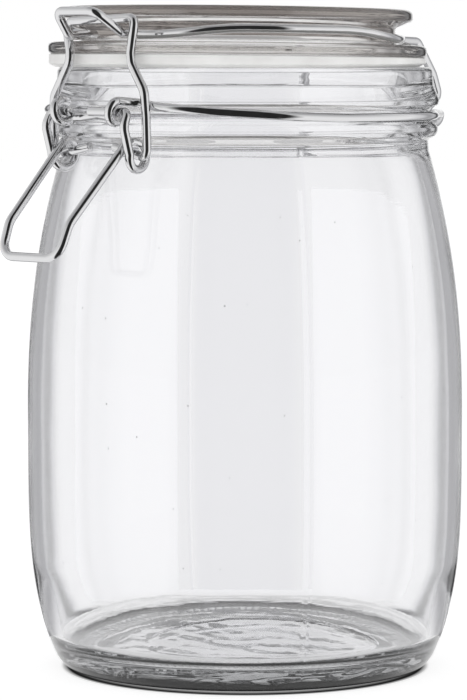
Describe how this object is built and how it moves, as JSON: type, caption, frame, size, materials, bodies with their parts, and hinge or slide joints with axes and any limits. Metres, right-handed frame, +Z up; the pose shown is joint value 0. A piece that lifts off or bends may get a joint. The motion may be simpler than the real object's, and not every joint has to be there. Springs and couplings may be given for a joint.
{
  "type": "glass storage jar with wire clip lid",
  "caption": "Empty round clear-glass storage jar with a hinged glass lid, pale rubber sealing ring and a bright steel wire clip, shown shut.",
  "frame": {"origin": "on the table plane, under the middle of the whole outline, clip included; the jar's own axis stands 9.85 mm behind it, at Y +0.00985", "axes": "+Z up along the jar's axis, -Y towards the clip at the front, +Y towards the lid's hinge, X along the hinge"},
  "size_m": [0.1084, 0.128, 0.1641],
  "materials": {
    "clear_glass": "clear pressed glass, colourless with a faint cool cast at thick edges",
    "pale_rubber": "whitish translucent rubber, satin",
    "bright_steel_wire": "bright drawn steel wire, polished"
  },
  "bodies": {
    "jar": {"jar_glass": "clear_glass", "neck_wire": "bright_steel_wire"},
    "lid": {"lid_glass": "clear_glass", "gasket": "pale_rubber", "lid_wire": "bright_steel_wire"},
    "lever": {"lever": "bright_steel_wire"},
    "bail": {"bail": "bright_steel_wire"}
  },
  "joints": [
    {"name": "lid_hinge", "type": "hinge", "parent": "jar", "child": "lid", "pos_m": [0, 0.05675, 0.1372], "axis": [-1, 0, 0], "range_deg": [0, 170]},
    {"name": "lever_pivot", "type": "hinge", "parent": "jar", "child": "lever", "pos_m": [0, -0.04345, 0.1387], "axis": [-1, 0, 0], "range_deg": [0, 90]},
    {"name": "bail_pivot", "type": "hinge", "parent": "lever", "child": "bail", "pos_m": [0, -0.03985, 0.1284], "axis": [-1, 0, 0], "range_deg": [-61, 0]}
  ],
  "couplings": [
    {"joint": "bail_pivot", "follows": "lever_pivot", "ratio": -0.67}
  ]
}
